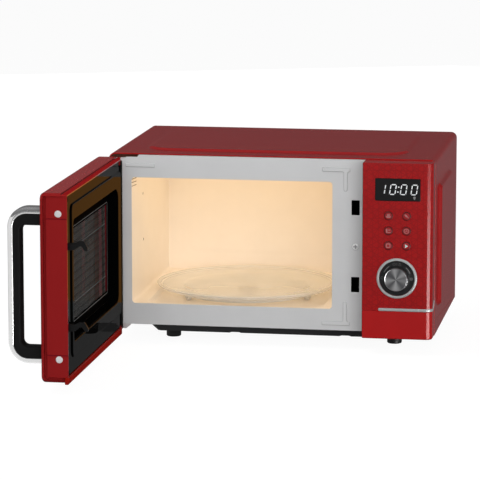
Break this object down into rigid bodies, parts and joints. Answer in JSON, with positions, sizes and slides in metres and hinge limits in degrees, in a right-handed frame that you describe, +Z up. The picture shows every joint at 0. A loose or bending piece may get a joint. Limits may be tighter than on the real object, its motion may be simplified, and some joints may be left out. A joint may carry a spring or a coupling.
{
  "type": "microwave oven",
  "caption": "Countertop microwave oven with a left-hinged door standing open, a glass turntable, push buttons, a dial and a bow handle.",
  "frame": {"origin": "centre of the front-left foot's sole, on the surface the oven stands on", "axes": "+X to the oven's right seen from the front, +Y to its back, +Z up"},
  "size_m": [0.5032, 0.6411, 0.2599],
  "materials": {
    "red_paint": "satin dark red baked paint on sheet steel",
    "black_paint": "black baked paint, low gloss",
    "galvanised": "zinc-coated sheet steel, dull spangle",
    "grey_paint": "smooth light grey baked paint",
    "cavity_enamel": "smooth cream enamel",
    "mica": "pressed mica sheet, matt",
    "magnetron_metal": "pressed fins and plated yoke",
    "transformer_iron": "varnished laminations and copper windings",
    "capacitor_can": "drawn can, satin",
    "motor_iron": "stacked laminations",
    "black_plastic": "matt moulded black",
    "white_plastic": "matt moulded off-white, heat resistant",
    "lamp_glass": "warm lamp glass",
    "bright_screw": "bright zinc plating",
    "hinge_steel": "plated steel",
    "foot_rubber": "moulded rubber",
    "red_plastic": "glossy moulded red",
    "red_film": "glossy red film with a fine line pattern",
    "display_black": "smoked clear window",
    "circuit_board": "green laminate",
    "satin_silver": "satin silver",
    "dial_black": "satin black with pale marks",
    "bright_trim": "polished silver",
    "spun_aluminium": "radially spun face",
    "red_button": "glossy red with pale marks",
    "tray_glass": "clear pressed glass",
    "door_glass": "black tinted glass",
    "screen_steel": "perforated sheet, dark enamel",
    "gloss_black": "high gloss black",
    "clear_film": "clear film, slightly smoky",
    "hook_black": "glass-filled black nylon",
    "spring_steel": "drawn spring wire",
    "cap_white": "white moulded cap",
    "handle_chrome": "satin chrome",
    "grip_black": "satin black moulding"
  },
  "bodies": {
    "cabinet": {"outer_cover": "red_paint", "base_pan": "black_paint", "rear_panel": "galvanised", "front_plate": "grey_paint", "cavity_liner": "cavity_enamel", "waveguide_cover": "mica", "waveguide": "galvanised", "magnetron": "magnetron_metal", "transformer": "transformer_iron", "capacitor": "capacitor_can", "fan_shroud": "black_plastic", "fan_motor": "motor_iron", "cavity_lamp": "lamp_glass", "turntable_motor": "galvanised", "latch_board": "black_plastic", "interlock_switch_upper": "black_plastic", "interlock_switch_lower": "black_plastic", "plate_screw": "bright_screw", "lower_hinge": "hinge_steel", "upper_hinge": "hinge_steel", "foot_front_left": "foot_rubber", "foot_front_right": "foot_rubber", "foot_rear_left": "foot_rubber", "foot_rear_right": "foot_rubber", "cord_gland": "black_plastic", "control_housing": "red_plastic", "panel_film": "red_film", "display_window": "display_black", "control_board": "circuit_board", "dial_encoder": "motor_iron", "dial_bezel": "satin_silver", "dial_plate": "dial_black", "trim_line": "bright_trim"},
    "door": {"door_frame": "red_plastic", "door_window": "door_glass", "door_inner_frame": "galvanised", "door_screen": "screen_steel", "choke_cover": "gloss_black", "inner_film": "clear_film", "latch_spring": "spring_steel", "screw_cap_upper": "cap_white", "screw_cap_lower": "cap_white", "handle_bow": "handle_chrome", "handle_grip": "grip_black"},
    "latch": {"latch_bar": "hook_black"},
    "knob": {"selector_knob": "spun_aluminium"},
    "turntable": {"glass_tray": "tray_glass", "turntable_coupler": "white_plastic"},
    "ring": {"roller_ring": "white_plastic"},
    "roller_1": {"roller_front": "white_plastic"},
    "roller_2": {"roller_right": "white_plastic"},
    "roller_3": {"roller_back": "white_plastic"},
    "fan": {"fan_blade": "white_plastic"},
    "meal_button": {"button_meal": "red_button"},
    "defrost_button": {"button_defrost": "red_button"},
    "menu_button": {"button_menu": "red_button"},
    "clock_button": {"button_clock": "red_button"},
    "stop_button": {"button_stop": "red_button"},
    "start_button": {"button_start": "red_button"}
  },
  "joints": [
    {"name": "door_hinge", "type": "hinge", "parent": "cabinet", "child": "door", "pos_m": [-0.0691, -0.0637, 0.1315], "axis": [0, 0, 1], "range_deg": [-5, 90]},
    {"name": "latch_lift", "type": "slide", "parent": "door", "child": "latch", "axis": [0, 0, 1], "range_m": [0, 0.004], "stiffness_N_per_m": 600, "springref_m": -0.003, "deforming": ["latch_spring"]},
    {"name": "knob_turn", "type": "hinge", "parent": "cabinet", "child": "knob", "pos_m": [0.3151, -0.092, 0.1034], "axis": [0, 1, 0], "continuous": true},
    {"name": "turntable_turn", "type": "hinge", "parent": "cabinet", "child": "turntable", "pos_m": [0.0885, 0.0816, 0.0565], "axis": [0, 0, 1], "continuous": true},
    {"name": "ring_turn", "type": "hinge", "parent": "cabinet", "child": "ring", "pos_m": [0.0885, 0.0816, 0.0515], "axis": [0, 0, 1], "continuous": true},
    {"name": "fan_turn", "type": "hinge", "parent": "cabinet", "child": "fan", "pos_m": [0.295, 0.199, 0.1715], "axis": [0, 1, 0], "continuous": true},
    {"name": "roller_1_turn", "type": "hinge", "parent": "ring", "child": "roller_1", "pos_m": [0.0167, 0.02093, 0.05125], "axis": [-0.7638, -0.6454, 0], "continuous": true},
    {"name": "roller_2_turn", "type": "hinge", "parent": "ring", "child": "roller_2", "pos_m": [0.17694, 0.04976, 0.05125], "axis": [0.9409, -0.3388, 0], "continuous": true},
    {"name": "roller_3_turn", "type": "hinge", "parent": "ring", "child": "roller_3", "pos_m": [0.07186, 0.17411, 0.05125], "axis": [-0.1771, 0.9842, 0], "continuous": true},
    {"name": "meal_press", "type": "slide", "parent": "cabinet", "child": "meal_button", "axis": [0, 1, 0], "range_m": [0, 0.0015], "stiffness_N_per_m": 500},
    {"name": "defrost_press", "type": "slide", "parent": "cabinet", "child": "defrost_button", "axis": [0, 1, 0], "range_m": [0, 0.0015], "stiffness_N_per_m": 500},
    {"name": "menu_press", "type": "slide", "parent": "cabinet", "child": "menu_button", "axis": [0, 1, 0], "range_m": [0, 0.0015], "stiffness_N_per_m": 500},
    {"name": "clock_press", "type": "slide", "parent": "cabinet", "child": "clock_button", "axis": [0, 1, 0], "range_m": [0, 0.0015], "stiffness_N_per_m": 500},
    {"name": "stop_press", "type": "slide", "parent": "cabinet", "child": "stop_button", "axis": [0, 1, 0], "range_m": [0, 0.0015], "stiffness_N_per_m": 500},
    {"name": "start_press", "type": "slide", "parent": "cabinet", "child": "start_button", "axis": [0, 1, 0], "range_m": [0, 0.0015], "stiffness_N_per_m": 500}
  ],
  "couplings": [
    {"joint": "ring_turn", "follows": "turntable_turn", "ratio": 0.5},
    {"joint": "roller_1_turn", "follows": "turntable_turn", "ratio": -8.7037},
    {"joint": "roller_2_turn", "follows": "turntable_turn", "ratio": -8.7037},
    {"joint": "roller_3_turn", "follows": "turntable_turn", "ratio": -8.7037}
  ]
}
